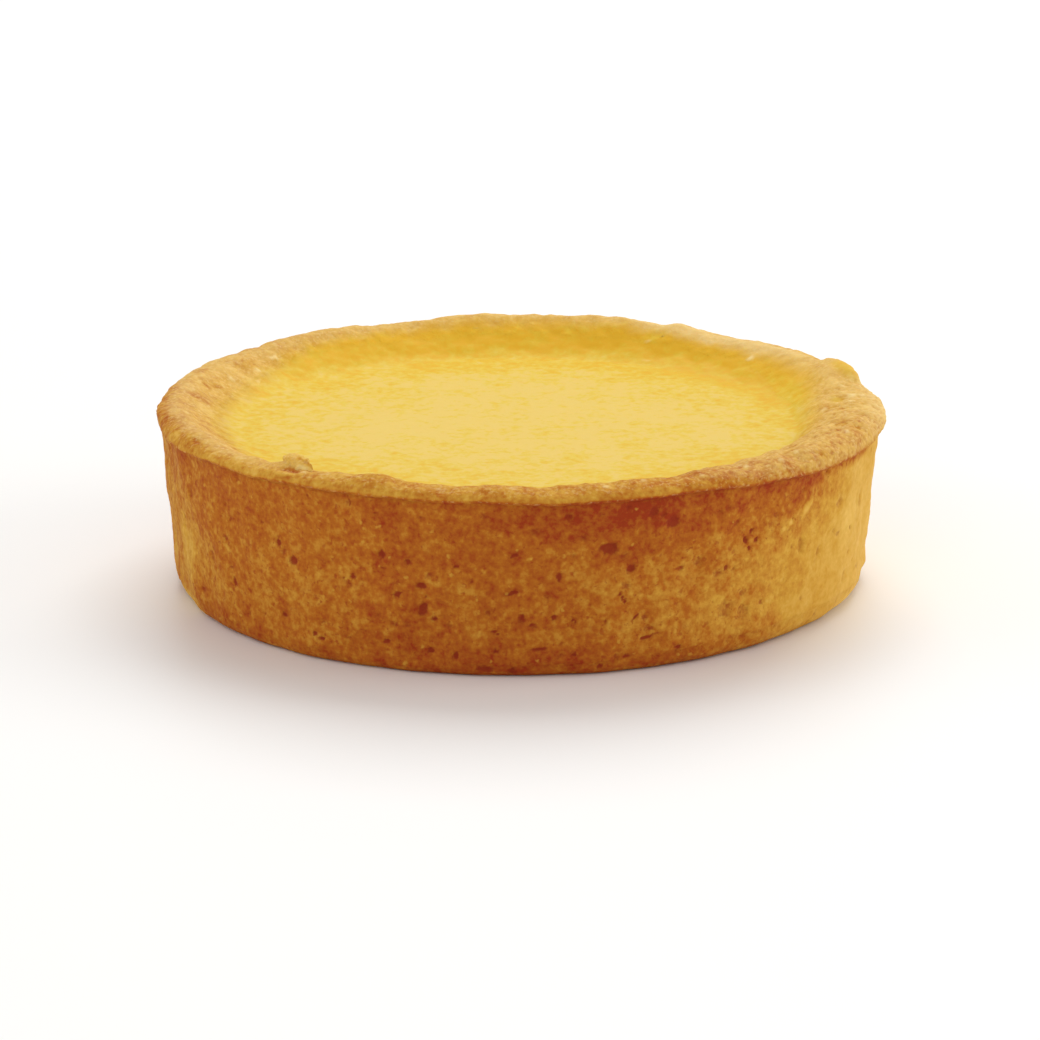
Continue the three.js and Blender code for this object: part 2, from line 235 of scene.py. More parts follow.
# Crumbs that stand out, pale and a little raised: azimuth, radius and half size. Some lie where the rim
# glints, and there their pale colour is a painted highlight.
CRUMBS = (
    (157.5, 36.2, 0.26), (149, 35.6, 0.26), (142.5, 36.7, 0.22), (141.6, 36.6, 0.24), (151.9, 34.4, 0.2),
    (5.8, 37.9, 0.3), (4.6, 37.5, 0.27), (0.3, 37.2, 0.27), (5, 38.9, 0.26), (359.3, 34.2, 0.24),
    (335.9, 39.1, 0.24), (345.2, 39.1, 0.2), (320.5, 38.4, 0.22), (41.3, 36.1, 0.3), (64.6, 35.75, 0.2),
    (62.8, 32.65, 0.2), (28.3, 27.2, 0.18), (234.6, 39.4, 0.22), (238.8, 39.3, 0.18), (244.5, 39.4, 0.18),
    (257.5, 39.6, 0.2), (268.9, 39.3, 0.2), (283, 39.5, 0.24), (289.4, 39, 0.2), (299, 39.6, 0.2),
    (308.4, 38.8, 0.24), (314.8, 39.5, 0.2), (3, 38.3, 0.22), (8, 37, 0.2), (11.5, 37.6, 0.22),
    (352, 38.4, 0.2), (348.3, 36.9, 0.2), (332, 38, 0.18),
)

# A mark is laid out at one radius. It fades between these shares of its half sizes, and its
# outline wanders. The numbers after its tilt are its rise and its tone.
MARK_RADIUS = 39
MARK_EDGE = (0.3, 1.2)
OUTLINE_WANDER = 0.35
RISE, TONE = 5, 6
CRUMB_SPREAD = 1.5
CRUMB_RISE = 0.12
HOLE_SPREAD = 1.2


# ---------------- sizes and finishes

def kind_of(kind, **fixed):
    """A function that makes one kind of setting from its name, description and default."""
    def setting(name, description, default, **more):
        return kind(name=name, description=description, default=default, **{**fixed, **more})
    return setting


length = kind_of(FloatProperty, min=0.0, precision=5, unit="LENGTH", subtype="DISTANCE")
share = kind_of(FloatProperty, min=0.0, max=1.0, subtype="FACTOR")
tone = kind_of(FloatVectorProperty, size=3, min=0.0, max=1.0, subtype="COLOR")
power = kind_of(FloatProperty, min=0.0, unit="POWER")


class TartletForm(bpy.types.PropertyGroup):
    """The sizes of the case and the filling, which are the frame's."""

    lip_diameter: length("Lip diameter", "Across the spread rim", 0.082)
    crest_height: length("Crest height", "From the underside to the top of the rim", 0.0211)
    lip_height: length("Lip height", "From the underside to the lip's lower edge", 0.01975)
    crest_inset: length("Crest inset", "From the lip's edge in to the crest", 0.0025)
    lip_overhang: length("Lip overhang", "How far the lip stands out over the wall", 0.0007)
    base_diameter: length("Base diameter", "Across the foot of the wall", 0.0776)
    base_rounding: length("Base rounding", "Radius of the corner under the wall", 0.0018)
    wall_thickness: length("Wall thickness", "Pastry between outside and filling", 0.0034)
    floor_thickness: length("Floor thickness", "Pastry under the filling", 0.003)
    filling_drop: length("Filling drop", "From the crest down to the flat filling", 0.0034)
    flat_diameter: length("Flat diameter", "Across the level part of the filling", 0.062)
    seam_diameter: length("Seam diameter", "Where filling and crust meet", 0.0714)


class PastryFinish(bpy.types.PropertyGroup):
    """The baked surface of the case."""

    palest: tone("Palest crust", "Where the oven hardly caught it", (0.80, 0.50, 0.115))
    golden: tone("Golden crust", "Lightly baked", (0.64, 0.34, 0.045))
    brown: tone("Brown crust", "Well baked", (0.47, 0.15, 0.015))
    deep: tone("Deep crust", "Where the oven caught it", (0.33, 0.042, 0.01))
    # The pits' colour, partly painted shade; it also paints the shade in the dents.
    pit: tone("Pits", "The bottom of holes and tears", (0.28, 0.033, 0.011))
    flour: tone("Flour", "The dry edge of the rim", (0.82, 0.58, 0.23))
    # The pale crumb colour, which also paints the glints laid as crumb spots and the flake's painted
    # highlight.
    crumb: tone("Crumbs", "Small dry crumbs on the rim", (0.94, 0.75, 0.35))
    crumb_depth: length("Crumb depth", "Height of the crumb's lumps", 0.00012)
    grain_depth: length("Grain depth", "Height of the flour's fine grain", 0.00004)
    crag_depth: length("Crag depth", "Depth of the crags on the broad crust", 0.00015)
    hole_count: IntProperty(name="Small holes", min=0, default=230,
                            description="How many small air holes the wall has")
    roughness: share("Roughness", "How dull the crust is", 0.68)


class FillingFinish(bpy.types.PropertyGroup):
    """The set lemon filling."""

    palest: tone("Palest lemon", "The middle of the filling", (0.79, 0.56, 0.13))
    lemon: tone("Lemon", "Most of the filling", (0.772, 0.545, 0.073))
    gold: tone("Gold", "Towards the rim", (0.76, 0.49, 0.042))
    deep: tone("Deep gold", "On the slope under the rim", (0.77, 0.44, 0.03))
    mottle: share("Mottling", "How patchy the lemon colour is", 0.42)
    roughness: share("Roughness", "How dull the filling is", 0.42)


class StudioSetup(bpy.types.PropertyGroup):
    """The floor, the lights and the camera."""

    floor: tone("Floor", "The plain pale floor", (0.92, 0.915, 0.905))
    fill: share("Fill light", "Strength of the even light from all round", 0.55, max=4.0)
    key_power: power("Key light", "The large soft light over the back", 8.4)
    right_power: power("Right light", "The soft light on the right", 1.3)
    left_power: power("Left light", "The soft light on the left", 0.65)
    front_power: power("Front light", "The weak soft light in front", 0.8)
    camera_distance: length("Camera distance", "In front of the tartlet's middle", 0.5)
    camera_height: length("Camera height", "Above the floor", 0.1465)
    camera_tilt: FloatProperty(name="Camera tilt", default=math.radians(15.64), unit="ROTATION",
                               subtype="ANGLE", description="How far the camera looks down")
    lens: FloatProperty(name="Lens", default=158.5, min=1.0, unit="CAMERA",
                        description="Focal length on a 36 mm sensor")


# ---------------- the baked form

def ramp(value, low, high):
    """0 below low, 1 above high, and smooth between."""
    risen = np.clip((value - low) / (high - low), 0.0, 1.0)
    return risen * risen * (3.0 - 2.0 * risen)


def mixed(low, high, part):
    return low + (high - low) * part


def turned_away(azimuth, at):
    """The signed angle from one azimuth to others, the short way round."""
    return (azimuth - at + 180.0) % 360.0 - 180.0


def within(azimuth, stretch):
    """1 over a stretch's middle, 0 outside it."""
    at, reach, ease = stretch[:3]
    return 1.0 - ramp(np.abs(turned_away(azimuth, at)), reach - ease, reach)


def added(azimuth, stretches):
    """What a list of stretches adds at each azimuth."""
    return sum(stretch[3] * within(azimuth, stretch) for stretch in stretches)


def uneven(azimuth, stretches, depth, counts, shift):
    """What stretches add, and a ripple from waves round the ring whose counts share no factor."""
    waves = (np.sin(np.radians(count * azimuth) + shift * (i + 1)) for i, count in enumerate(counts))
    return added(azimuth, stretches) + depth * sum(waves) / math.sqrt(len(counts))


def around(azimuth, radius, height):
    """Points at azimuths, radii and heights, with x, y and z along the last axis."""
    angle = np.radians(azimuth)
    parts = np.broadcast_arrays(radius * np.cos(angle), radius * np.sin(angle), height)
    return np.stack(parts, axis=-1)


def lumps(points, spacing, waves=9):
    """Lumps of one size in all directions, from waves with evenly spread headings."""
    total = 0.0
    for i in range(waves):
        rise = (2 * i + 1) / waves - 1
        flat = math.sqrt(1 - rise * rise)
        heading = i * math.pi * (3 - math.sqrt(5))
        direction = np.array((flat * math.cos(heading), flat * math.sin(heading), rise))
        total = total + np.sin(2 * math.pi * (points @ direction) / spacing + i * i)
    return total / math.sqrt(waves)


def grain(points, spacing, octaves, seed):
    """Random lumps of about one size at each point, from about -1 to 1."""
    placed = (points.reshape(-1, 3) / spacing + SEED_STEP * seed).tolist()
    values = [noise.fractal(Vector(point), 1.0, 2.0, octaves) for point in placed]
    return np.array(values).reshape(points.shape[:-1])


def bezier(ends, part):
    """A cubic from its four values."""
    left = 1 - part
    return (ends[0] * left ** 3 + 3 * ends[1] * left ** 2 * part
            + 3 * ends[2] * left * part ** 2 + ends[3] * part ** 3)


class BakedForm:
    """The tartlet's shape in mm round a number of azimuths. It is the frame's, at more points."""

    def __init__(self, sizes, columns):
        self.azimuth = azimuth = np.arange(columns) * (360 / columns)
        self.broad = within(azimuth, BROAD_CRUST)
        self.lip = sizes.lip_diameter / MM / 2
        self.lip_radius = self.lip + uneven(azimuth, LIP_STRETCHES, RIM_RIPPLE, (4, 9, 17), 1.3)
        self.lip_height = (sizes.lip_height / MM
                           + uneven(azimuth, LIP_DROOPS, RIM_RIPPLE, (7, 13, 22), 2.1))
        self.crest = self.lip - sizes.crest_inset / MM
        self.crest_height = (sizes.crest_height / MM
                             + uneven(azimuth, CREST_STRETCHES, RIM_RIPPLE, (11, 19, 31), 0.7))
        self.flat = sizes.flat_diameter / MM / 2
        self.flat_top = (sizes.crest_height - sizes.filling_drop) / MM
        self.seam = (sizes.seam_diameter / MM / 2
                     + uneven(azimuth, SEAM_STRETCHES, SEAM_RIPPLE, (8, 15, 27), 1.9))
        self.base = (sizes.base_diameter / MM / 2
                     + uneven(azimuth, BASE_STRETCHES, BASE_RIPPLE, (5, 14, 23, 37), 0.4))
        self.corner = sizes.base_rounding / MM + added(azimuth, CORNER_STRETCHES)
        self.wall_top = self.lip_height - LIP_UNDERCUT
        self.wall_edge = self.lip - sizes.lip_overhang / MM
        self.inner = self.base - sizes.wall_thickness / MM
        self.floor = sizes.floor_thickness / MM
        self.fillet_top = self.floor + FLOOR_FILLET

    def wall_radius(self, height):
        radius = mixed(self.base, self.wall_edge, height / self.wall_top)
        return radius + WALL_RELIEF * lumps(around(self.azimuth, radius, height), WALL_LUMP)

    def slope_height(self, radius):
        """The smooth slope from the flat filling up to the crest."""
        across = (self.flat, self.flat + mixed(*FOOT_EASE, self.broad),
                  self.crest - mixed(*CREST_EASE, self.broad), self.crest)
        low = np.zeros(np.broadcast(self.azimuth, radius).shape)
        high = np.ones_like(low)
        for _ in range(HALVINGS):
            middle = (low + high) / 2
            short = bezier(across, middle) < radius
            low = np.where(short, middle, low)
            high = np.where(short, high, middle)
        return bezier((self.flat_top, self.flat_top, self.crest_height, self.crest_height), low)

    def rim_relief(self, radius):
        """Lumps of the rim, deepest on the broad crust, and the bump under the curled flake."""
        rising = ramp(radius, self.flat, self.flat + 3)
        depth = mixed(*RIM_RELIEF, self.broad) * rising * (1 - ramp(radius, self.lip - 1, self.lip))
        away = np.abs(radius - self.lip + FLAKE_INSET)
        bump = added(self.azimuth, FLAKE_BUMP) * (1 - ramp(away, 0, FLAKE_WIDTH))
        return depth * lumps(around(self.azimuth, radius, 0.0), RIM_LUMP) + bump

    def inside_height(self, radius):
        """The upper surface inside the crest, of filling and crust alike."""
        fade = 1 - np.clip(radius / self.flat, 0, 1) ** 4
        relief = FILLING_RELIEF * fade * lumps(around(self.azimuth, radius, 0.0), FILLING_LUMP)
        slope = self.slope_height(np.maximum(radius, self.flat)) + self.rim_relief(radius)
        return np.where(radius <= self.flat, self.flat_top - FILLING_DISH * fade + relief, slope)

    def bead_point(self, part):
        """Radius and height on the outside of the rim, from its lower edge (0) to the crest (1)."""
        turn = part * math.pi / 2
        out, up = math.cos(turn) ** BEAD_ROUNDING, math.sin(turn) ** BEAD_ROUNDING
        radius = mixed(self.crest, self.lip_radius, out)
        shoulder = added(self.azimuth, SHOULDER_LUMP) * math.sin(2 * turn)
        height = mixed(self.lip_height, self.crest_height, up) + shoulder
        return radius, height + up * self.rim_relief(radius)


# ---------------- meshes

def shown(name, data):
    """An object in the scene, in place of one that an earlier run of an operator made."""
    piece = renewed(bpy.data.objects, name, data)
    bpy.context.scene.collection.objects.link(piece)
    return piece


def renewed(collection, name, *data):
    """A new data-block in place of an older one of that name."""
    old = collection.get(name)
    if old is not None:
        collection.remove(old)
    return collection.new(name, *data)


def stacked(azimuth, rings):
    """Radii, heights and shares of skin of a stack of rings, with their points and normals."""
    radii, heights, skin = (
        np.stack([np.broadcast_to(value, azimuth.shape) for value in values])
        for values in zip(*rings))
    points = around(azimuth, radii, heights)
    along = np.roll(points, -1, axis=1) - np.roll(points, 1, axis=1)
    normals = np.cross(along, np.gradient(points, axis=0))
    normals /= np.maximum(np.linalg.norm(normals, axis=-1, keepdims=True), 1e-9)
    return radii, heights, skin, points, normals


def ringed_piece(name, points, poles, layers, material):
    """A closed mesh from rings of points in mm, and the heights of the middles of its ends."""
    columns = points.shape[1]
    verts = np.concatenate((points.reshape(-1, 3), [(0, 0, height) for height in poles])) * MM
    index = np.arange(len(verts) - 2).reshape(-1, columns)
    turned = np.roll(index, -1, axis=1)
    quads = np.stack((index[:-1], turned[:-1], turned[1:], index[1:]), axis=-1).reshape(-1, 4)
    pole = np.full(columns, index.size)
    first = np.stack((pole, turned[0], index[0]), axis=-1)
    last = np.stack((index[-1], turned[-1], pole + 1), axis=-1)
    whole = {layer: np.append(values, (values[0].mean(), values[-1].mean()))
             for layer, values in layers.items()}
    return smooth_piece(name, verts, quads.tolist() + first.tolist() + last.tolist(), whole, material)


def smooth_piece(name, verts, faces, layers, material):
    """A smooth-shaded object from points in metres, faces and a value per point and layer."""
    mesh = bpy.data.meshes.new(name)
    mesh.from_pydata(verts.tolist(), [], faces)
    mesh.shade_smooth()
    for layer, values in layers.items():
        attribute = mesh.attributes.new(layer, "FLOAT", "POINT")
        attribute.data.foreach_set("value", values.astype(np.float32))
    mesh.materials.append(material)
    return shown(name, mesh)


def cover(mark, azimuth, across, outline):
    """How much of one mark lies at each point: 1 in its middle, and 0 past its uneven edge."""
    at, middle, half_length, half_width, tilt = mark[:5]
    sideways = np.radians(turned_away(azimuth, at)) * MARK_RADIUS
    up = across - middle
    cosine, sine = math.cos(math.radians(tilt)), math.sin(math.radians(tilt))
    lengthwise = (sideways * cosine + up * sine) / half_length
    widthwise = (up * cosine - sideways * sine) / half_width
    away = np.hypot(lengthwise, widthwise) * (1 + OUTLINE_WANDER * outline)
    return 1 - ramp(away, *MARK_EDGE)


def laid(marks, azimuth, across, outline=0.0, value=RISE):
    """What marks add where they lie: how far they rise, or how they change the tone."""
    return sum(mark[value] * cover(mark, azimuth, across, outline) for mark in marks)


def sink(marks, azimuth, heights, outline, depth, shade, darkness):
    """Sinks holes into a part of the wall, and shades them."""
    for at, height, length, width, *rest in marks:
        mark = (at, height, HOLE_SPREAD * length, HOLE_SPREAD * width, *rest)
        part = cover(mark, azimuth, heights, outline)
        np.maximum(depth, mark[RISE] * part, out=depth)
        np.maximum(shade, darkness * part, out=shade)


def small_holes(count, rng):
    """The wall's many small air holes, in the form that HOLES has."""
    for _ in range(count):
        size = 0.2 + 0.22 * rng.random() ** 2
        yield (360 * rng.random(), rng.uniform(1.2, 18.6), size * rng.uniform(1.0, 1.7), size,
               rng.uniform(-50, 50), rng.uniform(0.15, 0.32))


def pastry_case(form, finish, material):
    """The case as one closed mesh: underside, corner, wall, lip, rim, slope and inside."""
    azimuth, corner, top = form.azimuth, form.corner, form.wall_top
    foot = form.base - corner
    rings = [(foot * part, 0.0, 0.0) for part in (0.3, 0.65, 0.9, 1.0)]
    wall_start = len(rings)
    for turn in np.linspace(0, math.pi / 2, CORNER_RINGS + 1)[1:]:
        rings.append((foot + corner * math.sin(turn), corner * (1 - math.cos(turn)), turn / math.pi))
    for part in np.linspace(0, 1, WALL_RINGS + 1)[1:]:
        height = mixed(corner, top, part)
        rings.append((form.wall_radius(height), height, 1.0))
    wall_end = len(rings)
    wall_rim = rings[-1][0]
    for part in (0.35, 0.7):
        radius = mixed(wall_rim, form.lip_radius, ramp(part, 0, 1.2))
        rings.append((radius, top + LIP_UNDERCUT * part ** 2, 0.7))
    bead_start = len(rings)
    for part in np.linspace(0, 1, BEAD_RINGS + 1):
        rings.append((*form.bead_point(part), 1.0))
    inner_edge = form.seam - SEAM_LAP
    for part in np.linspace(0, 1, SLOPE_RINGS)[1:]:
        radius = mixed(form.crest, inner_edge, part)
        tucked = SEAM_TUCK * np.clip((form.seam - radius) / SEAM_LAP, 0, 1) ** 2
        rings.append((radius, form.inside_height(radius) - tucked, 1.0))
    inside_start = len(rings)
    inner = form.inner
    half_way = (form.inside_height(inner_edge) + form.fillet_top) / 2
    rings += [((inner_edge + inner) / 2, half_way, 0.0), (inner, form.fillet_top, 0.0),
              (inner - FLOOR_FILLET, form.floor, 0.0), (inner / 2, form.floor, 0.0)]
    radii, heights, skin, points, normals = stacked(azimuth, rings)

    bead_part = np.clip((np.arange(len(rings)) - bead_start) / BEAD_RINGS, 0, 1)[:, None]
    rim = ramp(bead_part, 0.0, 0.1)
    rim[inside_start:] = 0.0
    wall = np.zeros_like(rim)
    wall[wall_start:bead_start] = 1.0
    wall = np.maximum(wall, (1 - rim) * (bead_part > 0) * (bead_part < 1))

    rim_lift, rim_change, crumbs = upper_detail(finish, azimuth, radii, points)
    wall_lift = (finish.crumb_depth / MM * grain(points, 2.7, 3, 1)
                 + finish.grain_depth / MM * grain(points, 0.85, 2, 3))
    depth, shade = np.zeros_like(radii), np.zeros_like(radii)
    rows = slice(wall_start + 1, wall_end)
    outline = grain(points[rows], 0.6, 2, 12)
    few = small_holes(finish.hole_count, np.random.default_rng(HOLE_SEED))
    # How dark each kind is painted: painted shade in the dents, and partly painted shade in the holes.
    for marks, darkness in ((DENTS, 0.42), (few, 0.5), (HOLES, 1.0)):
        sink(marks, azimuth, heights[rows], outline, depth[rows], shade[rows], darkness)
    points = points + normals * (skin * mixed(wall_lift, rim_lift, rim) - 0.7 * depth)[..., None]
    points[..., 2] = np.maximum(points[..., 2], 0.0)
    points = points + normals * (wall * laid(WALL_MARKS, azimuth, heights))[..., None]

    low = 1 - ramp(heights, 0.5, 5.0)
    high = ramp(heights, 9.5, 19.5)
    wall_level = (0.62 + uneven(azimuth, WALL_BROWNING, 0.03, (2, 3, 5), 1.1)
                  # darker under the lip, partly painted shade
                  + high * (0.05 + added(azimuth, UNDER_LIP_BROWNING))
                  # darker at the foot in front, partly painted shade
                  + low * (0.02 + added(azimuth, FOOT_BROWNING))
                  # wall marks, with painted shade under the lip and painted light at the foot
                  + laid(WALL_MARKS, azimuth, heights, value=TONE))
    rim_level = (upper_browning(azimuth, radii) + rim_change
                 + 0.05 * (1 - ramp(bead_part, 0.5, 1.0)))
    front_bead = (1 - ramp(bead_part, 0.1, 0.6)) * within(azimuth, (255, 75, 40))
    flour = floury(azimuth, radii) * np.clip(1 - 4 * rim_change, 0, 1.5) - 0.36 * front_bead
    layers = {
        "browning": mixed(wall_level, rim_level, rim),
        "hole": shade,
        "custard": rim * lemon_share(azimuth, radii, points),
        "gold": gold_level(azimuth, radii),
        "wall": np.broadcast_to(wall, radii.shape),
        "flour": rim * flour,
        "crumbs": rim * crumbs,
    }
    return ringed_piece("PastryCase", points, (0, form.floor), layers, material)


def broad_crust(azimuth, radii):
    """Where the crust on the right spreads inwards."""
    return within(azimuth, BROAD_CRUST) * ramp(radii, 33, 35)


def upper_detail(finish, azimuth, radii, points):
    """How far the upper surface stands up, how its tone changes, with painted shade in the crags and by
    the flake, and where the pale crumb spots lie, some of them painted glints.
    """
    crust = ramp(radii, 27, 36)
    crumb = (1.1 * finish.crumb_depth / MM * grain(points, 1.4, 2, 1)
             + finish.grain_depth / MM * grain(points, 0.8, 1, 3))
    drawn = around(azimuth, MARK_RADIUS / 2.2, radii - points[..., 2])
    crags = np.clip(1 - 2.4 * np.abs(grain(drawn, 0.9, 3, 9)), 0, 1)
    broad = broad_crust(azimuth, radii)
    lift = (mixed(0.025 * grain(points, 1.6, 3, 21), crumb, crust)
            - broad * finish.crag_depth / MM * crags)
    outline = grain(points, 0.6, 2, 12)
    # Pale crumb spots that rise a little; some stand where the rim glints, and there the pale colour is a
    # painted highlight.
    spots = [(at, radius, 1.3 * CRUMB_SPREAD * half, CRUMB_SPREAD * half, at * 7 % 30 - 15,
              3 * half - 0.2) for at, radius, half in CRUMBS]
    crumbs = laid(spots, azimuth, radii, 1.5 * outline)
    lift = lift + laid(RIM_MARKS, azimuth, radii, outline) + CRUMB_RISE * crumbs
    # Painted shade darkens the valleys of the broad crust's crags. The rim marks' tones include painted
    # shade under the flake and beside the small bump.
    change = 0.12 * broad * ramp(crags, 0.4, 0.95) + laid(RIM_MARKS, azimuth, radii, outline, TONE)
    return lift, change, crumbs


def upper_browning(azimuth, radius):
    """The tone of the crust on top of the rim, which is paler inside the crest and, as painted light, at
    the back.
    """
    inside = 1 - ramp(radius, 36.8, 38.4)
    return 0.36 + added(azimuth, RIM_BROWNING) + inside * (added(azimuth, SLOPE_BROWNING) - 0.06)


def floury(azimuth, radii):
    """How dry and pale with flour the rim is, mostly along its crest and on the broad crust."""
    crest = ramp(radii, 35.5, 37.5) * (1 - ramp(radii, 39.0, 40.3))
    left = ramp(radii, 33.2, 35.5) * (1 - ramp(radii, 38.8, 40.3))
    flour = np.maximum((0.3 - 0.3 * within(azimuth, (275, 62, 34))) * crest,
                       0.25 * broad_crust(azimuth, radii))
    flour = np.maximum(flour, 0.2 * within(azimuth, (175, 48, 24)) * left)
    return (flour + 0.4 * within(azimuth, (50, 26, 14)) * crest
            + 0.45 * within(azimuth, (4, 26, 16)) * ramp(radii, 38.6, 40)
            + 0.3 * within(azimuth, (158, 16, 10)) * ramp(radii, 38.8, 40))


def lemon_share(azimuth, radius, points):
    """How much of the lemon colour shows: 1 on the filling, 0 on the crust."""
    middle = 36.8 + added(azimuth, LEMON_EDGE)
    half = 0.8 + added(azimuth, LEMON_BLEND)
    away = radius + 0.45 * grain(points, 2.4, 3, 7)
    return np.maximum(1 - ramp(away, middle - half, middle + half), laid(RUN_OVER, azimuth, radius))


def gold_level(azimuth, radius):
    """How golden the lemon colour has gone: more so towards the rim, most at the back."""
    outwards = ramp(radius, 14, 33)
    slope = ramp(radius, 31, 36) * within(azimuth, (80, 78, 30))
    back = within(azimuth, (80, 100, 80))
    front = within(azimuth, (280, 76, 40)) * (0.2 * ramp(radius, 6, 22)
                                              + 0.2 * ramp(radius, 25, 31))
    return (mixed(0.42, 0.62, back) * outwards ** 1.5 + 0.35 * slope + front
            + laid(GOLD_PATCHES, azimuth, radius))


def lemon_filling(form, finish, material):
    """The filling as one closed mesh that lies in the case, up to the seam."""
    azimuth, inner = form.azimuth, form.inner
    bottom = form.floor + SEAM_GAP
    edge = form.seam + 1.0
    half_way = (form.inside_height(edge) - 0.4 + form.fillet_top) / 2
    rings = [(inner / 2, bottom, 0.0), (inner - FLOOR_FILLET - SEAM_GAP / 2, bottom, 0.0),
             (inner - SEAM_GAP, form.fillet_top + SEAM_GAP / 2, 0.0),
             ((edge + inner - SEAM_GAP) / 2, half_way, 0.0)]
    top_start = len(rings)
    for part in np.linspace(0, 1, SLOPE_RINGS + 1)[:-1]:
        radius = mixed(edge, form.flat, part)
        tucked = SEAM_TUCK * np.clip(radius - form.seam, 0, 1) ** 2
        rings.append((radius, form.inside_height(radius) - tucked, 1.0))
    for part in np.linspace(1, 0, FLAT_RINGS + 1)[:-1]:
        rings.append((form.flat * part, form.inside_height(form.flat * part), 1.0))
    radii, _, skin, points, normals = stacked(azimuth, rings)
    lift, change, crumbs = upper_detail(finish, azimuth, radii, points)
    points = points + normals * (skin * lift)[..., None]
    custard = lemon_share(azimuth, radii, points)
    custard[:top_start] = 1.0
    layers = {
        "browning": upper_browning(azimuth, radii) + change,
        "custard": custard,
        "wall": np.zeros_like(radii),
        "gold": gold_level(azimuth, radii),
        "crumbs": crumbs,
    }
    return ringed_piece("LemonFilling", points, (bottom, form.inside_height(0.0)[0]), layers, material)


def curled_flake(material):
    """The leaf-shaped flake of crust that stands up at the front left of the rim."""
    shape = bmesh.new()
    bmesh.ops.create_icosphere(shape, subdivisions=5, radius=1.0)
    leaf = np.array([vert.co for vert in shape.verts])
    sides = [[vert.index for vert in face.verts] for face in shape.faces]
    shape.free()
    along, up, out = leaf.T
    rough = grain(leaf * FLAKE_HALF, 0.7, 3, 4)
    pointed = np.maximum(1 - along ** 2, 0.0) ** 0.2 * (1 + 0.25 * rough)
    half_length, half_width, half_depth = FLAKE_HALF
    folded = 0.22 * ramp(up, 0.2, 0.9) * ramp(along, -0.4, 0.6)
    curl = 0.12 - 0.3 * along ** 2 - 0.25 * up ** 2 + folded + 0.06 * rough

    azimuth, radius, height = FLAKE_PLACE
    turn, lean, roll = np.radians((azimuth, FLAKE_LEAN, FLAKE_ROLL))
    sideways = np.array((-math.sin(turn), math.cos(turn), 0))
    outwards = np.array((math.cos(turn), math.sin(turn), 0))
    upright = np.array((0, 0, 1))
    rise = math.cos(lean) * upright - math.sin(lean) * outwards
    face = math.sin(lean) * upright + math.cos(lean) * outwards
    lengthwise = math.cos(roll) * sideways + math.sin(roll) * rise
    widthwise = math.cos(roll) * rise - math.sin(roll) * sideways
    verts = (radius * outwards + height * upright + np.outer(half_length * along, lengthwise)
             + np.outer(half_width * up * pointed, widthwise)
             + np.outer(half_depth * out * pointed + curl, face))
    # Painted shade in a band along the fold by the flake's upper right edge, and a painted highlight near
    # its lower right tip, on the front face.
    crease = ramp(up, 0.1, 0.4) * (1 - ramp(up, 0.5, 0.75)) * ramp(along, -0.2, 0.3)
    tip = 1 - ramp(np.hypot(along - 0.55, up + 0.4), 0.15, 0.5)
    layers = {"browning": 0.1 + 0.36 * crease + 0.08 * rough, "crumbs": 0.35 * tip * (out > 0)}
    return smooth_piece("CurledFlake", verts * MM, sides, layers, material)


# ---------------- materials

WHITE = (1.0, 1.0, 1.0, 1.0)


def place(tree, kind, inputs=None, **settings):
    """Adds a shader node. Its inputs are linked where they get a socket, and set otherwise."""
    node = tree.nodes.new("ShaderNode" + kind)
    node.location = (190 * (len(tree.nodes) % 9), -240 * (len(tree.nodes) // 9))
    for name, value in settings.items():
        setattr(node, name, value)
    for name, value in (inputs or {}).items():
        if isinstance(value, bpy.types.NodeSocket):
            tree.links.new(value, node.inputs[name])
        else:
            node.inputs[name].default_value = (*value, 1) if isinstance(value, Color) else value
    return node


def maths(tree, operation, *values, clamp=False):
    """The output of a Math node."""
    inputs = dict(enumerate(values))
    return place(tree, "Math", inputs, operation=operation, use_clamp=clamp).outputs[0]


def times(tree, first, second):
    return maths(tree, "MULTIPLY", first, second)


def scaled(tree, value, factor, plus, clamp=False):
    """A value times a factor, plus something."""
    return maths(tree, "MULTIPLY_ADD", value, factor, plus, clamp=clamp)


def blended(tree, part, first, second):
    """The colour output of a Mix node."""
    inputs = {0: part, 6: first, 7: second}
    return place(tree, "Mix", inputs, data_type="RGBA").outputs[2]


def eased(tree, value, low, high, new_low=0.0, new_high=1.0):
    """A value that goes smoothly from one range to another, and stays in it."""
    inputs = dict(enumerate((value, low, high, new_low, new_high)))
    return place(tree, "MapRange", inputs, interpolation_type="SMOOTHSTEP").outputs[0]


def noisy(tree, position, spacing, detail=2.0, roughness=0.5):
    """The value of a Noise Texture with one lump for each step of the spacing."""
    inputs = {"Vector": counted(tree, position, spacing), "Scale": 1.0, "Detail": detail,
              "Roughness": roughness}
    return place(tree, "TexNoise", inputs).outputs[0]


def counted(tree, position, spacing):
    """A position counted in steps of one spacing."""
    steps = place(tree, "CombineXYZ", {0: spacing, 1: spacing, 2: spacing})
    return place(tree, "VectorMath", {0: position, 1: steps.outputs[0]},
                 operation="DIVIDE").outputs[0]


def layer(tree, name):
    """A value that the mesh carries at each point."""
    return place(tree, "Attribute", attribute_name=name).outputs["Fac"]


def graded_tone(tree, level=0.5, palest=WHITE, light=WHITE, full=WHITE, deep=WHITE):
    """Four colours in a row, chosen and blended by a level."""
    made = palest
    for i, colour in enumerate((light, full, deep)):
        made = blended(tree, scaled(tree, level, 3.0, -i, clamp=True), made, colour)
    return made


